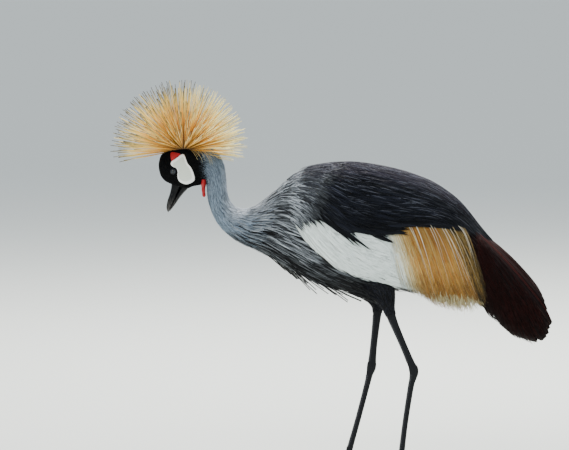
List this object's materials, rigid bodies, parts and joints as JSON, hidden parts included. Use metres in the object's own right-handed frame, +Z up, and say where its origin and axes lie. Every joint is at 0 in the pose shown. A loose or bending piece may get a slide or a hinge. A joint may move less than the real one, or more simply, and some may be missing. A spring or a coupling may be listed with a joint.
{
  "type": "grey crowned crane",
  "caption": "Life-size grey crowned crane in a slow walk, neck stretched forward, head bowed, bristle crest and folded wings.",
  "frame": {"origin": "on the floor under the middle of the bird's length and width", "axes": "+Z up, -X the way the bird faces, -Y its left side"},
  "size_m": [0.8384, 0.2112, 0.7582],
  "materials": {
    "velvet": "short dense black feathering",
    "cheek": "bare matt skin",
    "red": "bare wrinkled skin",
    "bill": "horn, satin",
    "eye": "wet and clear",
    "crest": "stiff bristles",
    "neck": "soft grey feathering",
    "plume": "long slate plumes",
    "slate": "dark feathers with a slight sheen",
    "white": "smooth white coverts",
    "gold": "loose hair-like plumes",
    "chestnut": "dark maroon feathers with a slight sheen",
    "black": "black flight feathers",
    "leg": "scaled dark skin",
    "claw": "horn"
  },
  "bodies": {
    "root": {"head": "velvet", "eye_left": "eye", "eye_right": "eye", "cheek_left": "cheek", "cheek_right": "cheek", "red_cap_left": "red", "red_cap_right": "red", "bill_upper": "bill", "bill_lower": "bill", "neck_upper": "neck", "neck_middle": "neck", "wattle": "red", "breast": "plume", "torso": "slate", "crest": "crest", "wing_left": "white", "wing_right": "white", "scapulars_left": "slate", "scapulars_right": "slate", "plumes_left": "gold", "plumes_right": "gold", "secondaries_left": "chestnut", "secondaries_right": "chestnut", "primaries_left": "black", "primaries_right": "black", "tail": "black", "thigh_left": "slate", "thigh_right": "slate", "shank_left": "leg", "shank_right": "leg", "tarsus_left": "leg", "tarsus_right": "leg", "foot_left": "leg", "foot_right": "leg", "claw_middle_left": "claw", "claw_inner_left": "claw", "claw_outer_left": "claw", "claw_hind_left": "claw", "claw_middle_right": "claw", "claw_inner_right": "claw", "claw_outer_right": "claw", "claw_hind_right": "claw"}
  },
  "joints": []
}
